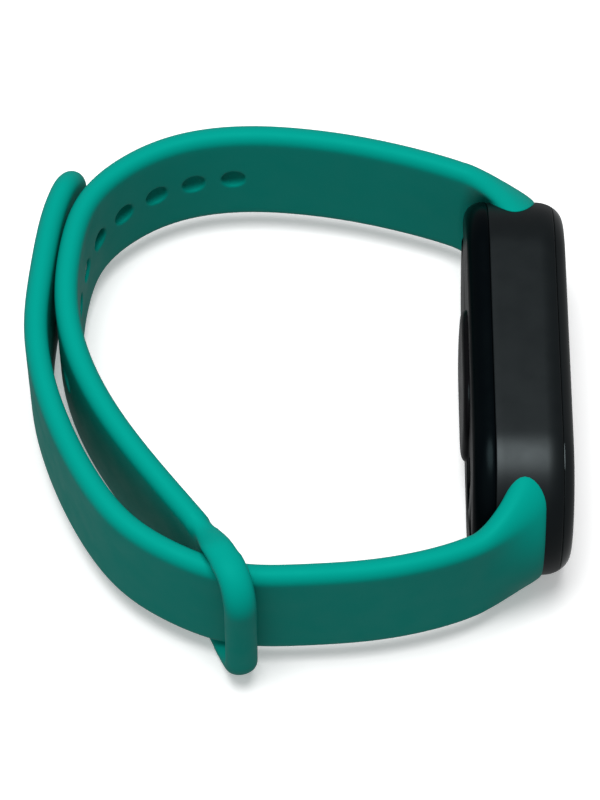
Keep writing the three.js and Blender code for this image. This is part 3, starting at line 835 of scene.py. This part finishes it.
# Each finish: a base colour and a second tone mixed by broad noise, roughness that wanders a
# little, and a fine bump. Scales are in repeats per metre.
finishes = {
    "silicone": {
        "color": (0.0003, 0.29, 0.235), "tone": (0.0002, 0.268, 0.217), "toneScale": 70,
        "rough": (0.47, 0.58), "roughScale": 260, "bump": 0.05, "bumpScale": 5200, "depth": 0.00004,
        "specular": 0.2, "tint": (0.03, 0.75, 0.6),
    },
    "frameSatin": {
        "color": (0.0015, 0.0026, 0.0033), "tone": (0.0012, 0.0021, 0.0027), "toneScale": 90,
        "rough": (0.38, 0.44), "roughScale": 400, "bump": 0.12, "bumpScale": 9000, "depth": 0.00002,
        "specular": 0.28, "tint": (0.84, 0.97, 1.0),
    },
    "caseGloss": {
        "color": (0.0006, 0.0012, 0.0018), "tone": (0.0009, 0.0017, 0.0024), "toneScale": 120,
        "rough": (0.26, 0.34), "roughScale": 500, "bump": 0.03, "bumpScale": 2500, "depth": 0.00002,
        "specular": 0.04, "tint": (0.6, 0.93, 1.0),
    },
    "coverGlass": {
        "color": (0.0025, 0.003, 0.0035), "tone": (0.003, 0.0035, 0.004), "toneScale": 60,
        "rough": (0.05, 0.09), "roughScale": 300, "bump": 0.01, "bumpScale": 900, "depth": 0.00002,
        "specular": 0.33, "tint": (0.8, 0.97, 1.0),
    },
    "windowPlastic": {
        "color": (0.003, 0.003, 0.0035), "tone": (0.006, 0.005, 0.006), "toneScale": 200,
        "rough": (0.24, 0.32), "roughScale": 400, "bump": 0.02, "bumpScale": 2500, "depth": 0.00002,
        "specular": 0.045, "tint": (0.7, 0.95, 1.0),
    },
    "blackPlastic": {
        "color": (0.012, 0.012, 0.013), "tone": (0.018, 0.018, 0.019), "toneScale": 300,
        "rough": (0.5, 0.62), "roughScale": 700, "bump": 0.2, "bumpScale": 7000, "depth": 0.00003,
    },
    "steel": {
        "color": (0.55, 0.56, 0.57), "tone": (0.45, 0.46, 0.47), "toneScale": 500,
        "rough": (0.22, 0.34), "roughScale": 900, "bump": 0.08, "bumpScale": 6000, "depth": 0.00002,
        "metallic": 1.0,
    },
    "gold": {
        "color": (0.8, 0.55, 0.2), "tone": (0.7, 0.46, 0.16), "toneScale": 600,
        "rough": (0.16, 0.28), "roughScale": 900, "bump": 0.06, "bumpScale": 6000, "depth": 0.00002,
        "metallic": 1.0,
    },
    "boardGreen": {
        "color": (0.012, 0.09, 0.045), "tone": (0.02, 0.14, 0.06), "toneScale": 700,
        "rough": (0.35, 0.5), "roughScale": 900, "bump": 0.2, "bumpScale": 1500, "depth": 0.00006,
    },
    "foil": {
        "color": (0.5, 0.51, 0.53), "tone": (0.42, 0.43, 0.45), "toneScale": 300,
        "rough": (0.28, 0.42), "roughScale": 500, "bump": 0.15, "bumpScale": 900, "depth": 0.00008,
        "metallic": 0.9,
    },
    "flexFilm": {
        "color": (0.38, 0.16, 0.035), "tone": (0.3, 0.12, 0.03), "toneScale": 600,
        "rough": (0.3, 0.42), "roughScale": 900, "bump": 0.1, "bumpScale": 1800, "depth": 0.00003,
    },
    "displayPanel": {
        "color": (0.004, 0.0045, 0.006), "tone": (0.006, 0.0065, 0.008), "toneScale": 200,
        "rough": (0.1, 0.18), "roughScale": 400, "bump": 0.02, "bumpScale": 1500, "depth": 0.00002,
    },
}


# A finish as shader nodes: noise on Object coordinates mixes the two tones, moves the roughness
# between its two values and drives the bump.
def makeFinish(name):
    look = finishes[name]
    material = bpy.data.materials.new(name)
    material.use_nodes = True
    tree = material.node_tree
    shader = tree.nodes["Principled BSDF"]
    place = tree.nodes.new("ShaderNodeTexCoord")

    def noise(scale, detail):
        node = tree.nodes.new("ShaderNodeTexNoise")
        node.inputs["Scale"].default_value = scale
        node.inputs["Detail"].default_value = detail
        tree.links.new(place.outputs["Object"], node.inputs["Vector"])
        return node.outputs["Fac"]

    mix = tree.nodes.new("ShaderNodeMix")
    mix.data_type = "RGBA"
    mix.inputs[6].default_value = (*look["color"], 1)
    mix.inputs[7].default_value = (*look["tone"], 1)
    tree.links.new(noise(look["toneScale"], 4), mix.inputs["Factor"])
    tree.links.new(mix.outputs[2], shader.inputs["Base Color"])
    spread = tree.nodes.new("ShaderNodeMapRange")
    spread.inputs["From Min"].default_value = 0.3
    spread.inputs["From Max"].default_value = 0.7
    spread.inputs["To Min"].default_value = look["rough"][0]
    spread.inputs["To Max"].default_value = look["rough"][1]
    tree.links.new(noise(look["roughScale"], 3), spread.inputs["Value"])
    tree.links.new(spread.outputs["Result"], shader.inputs["Roughness"])
    bump = tree.nodes.new("ShaderNodeBump")
    bump.inputs["Strength"].default_value = look["bump"]
    bump.inputs["Distance"].default_value = look["depth"]
    tree.links.new(noise(look["bumpScale"], 2), bump.inputs["Height"])
    tree.links.new(bump.outputs["Normal"], shader.inputs["Normal"])
    shader.inputs["Metallic"].default_value = look.get("metallic", 0.0)
    shader.inputs["Specular IOR Level"].default_value = look.get("specular", 0.5)
    shader.inputs["Specular Tint"].default_value = (*look.get("tint", (1, 1, 1)), 1)
    return material


materials = {name: makeFinish(name) for name in finishes}

slotFinish = {
    "silicone": "silicone",
    "satin_frame": "frameSatin",
    "gloss_case": "caseGloss",
    "cover_glass": "coverGlass",
    "sensor_window": "windowPlastic",
    "display": "displayPanel",
    "black_plastic": "blackPlastic",
    "circuit_board": "boardGreen",
    "cell_foil": "foil",
    "steel": "steel",
    "flex_film": "flexFilm",
    "gold_contact": "gold",
}


# Gives a piece one finish in place of what it had.
def dress(piece, finish):
    piece.data.materials.clear()
    piece.data.materials.append(materials[finish])


for part in frame["record"]["subparts"]:
    dress(nodes[part["node"]], slotFinish[part["material_slot"]])
print("finishes made:", len(materials))


# Dresses a new piece in its slot's finish, puts it in place of CAD solids and on its body.
def addPiece(piece, slotName, replaced, body="root"):
    dress(piece, slotFinish[slotName])
    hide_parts(*replaced)
    if body:
        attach(piece, body)
    print("piece made:", piece.name, len(piece.data.polygons), "faces")
    return piece


addPiece(makeHoleStrap(), "silicone", ["hole_strap"])
plain = addPiece(makePlainStrap(), "silicone", ["lower_strap", "strap_tail"], None)
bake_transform(plain)
addPiece(makeStud(), "steel", ["fastening_stud"], "tail")
addPiece(makeCase(), "gloss_case", ["lower_case"])
addPiece(makeFrame(), "satin_frame", ["upper_frame"])
addPiece(makeGlass(), "cover_glass", ["display_cover"])
addPiece(makeLens(), "sensor_window", ["sensor_lens"])

# Each button's spring gets a mesh of its own.
for side in ("far", "near"):
    spring = nodes["button_spring_" + side]
    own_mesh(spring)


# The plain floor, the even surroundings and the two lights.
def makeStudio():
    world = bpy.data.worlds.new("studioWorld")
    bpy.context.scene.world = world
    world.use_nodes = True
    background = world.node_tree.nodes["Background"]
    background.inputs["Color"].default_value = (*studio["world"], 1)
    background.inputs["Strength"].default_value = studio["worldStrength"]

    bpy.ops.mesh.primitive_plane_add(size=studio["floorSize"], location=(0, 0, cadLow.z - 0.0002))
    floor = bpy.context.object
    floor.name = "studio_floor"
    paint = bpy.data.materials.new("floorPaint")
    paint.use_nodes = True
    shader = paint.node_tree.nodes["Principled BSDF"]
    shader.inputs["Base Color"].default_value = (*studio["floorColor"], 1)
    shader.inputs["Roughness"].default_value = 0.9
    shader.inputs["Emission Color"].default_value = (1, 1, 1, 1)
    shader.inputs["Emission Strength"].default_value = studio["floorGlow"]
    floor.data.materials.append(paint)
    floor.visible_diffuse = False
    floor.visible_glossy = False

    target = Vector(cameraSetup["target"]) * mm

    def area(name, place, size, power):
        data = bpy.data.lights.new(name, "AREA")
        data.shape = "DISK"
        data.size = size
        data.energy = power
        light = bpy.data.objects.new(name, data)
        bpy.context.scene.collection.objects.link(light)
        light.location = target + Vector(place)
        light.rotation_euler = (target - light.location).to_track_quat("-Z", "Y").to_euler()

    area("keyLight", studio["keyPlace"], studio["keySize"], studio["keyPower"])
    area("softLight", studio["softPlace"], studio["softSize"], studio["softPower"])


# The camera looks down at the band from its near side.
def makeCamera():
    data = bpy.data.cameras.new("viewCamera")
    camera = bpy.data.objects.new("viewCamera", data)
    bpy.context.scene.collection.objects.link(camera)
    rise = math.radians(cameraSetup["elevation"])
    back = Vector((0, -math.cos(rise), math.sin(rise)))
    target = Vector(cameraSetup["target"]) * mm
    camera.location = target + back * cameraSetup["distance"] * mm
    camera.rotation_mode = "QUATERNION"
    camera.rotation_quaternion = (-back).to_track_quat("-Z", "Y")
    data.sensor_width = cameraSetup["sensor"]
    data.lens = cameraSetup["lens"]
    data.clip_start = 0.01
    data.clip_end = 10
    bpy.context.scene.camera = camera


makeStudio()
makeCamera()
bpy.context.scene.view_settings.view_transform = "Standard"
print("studio ready")
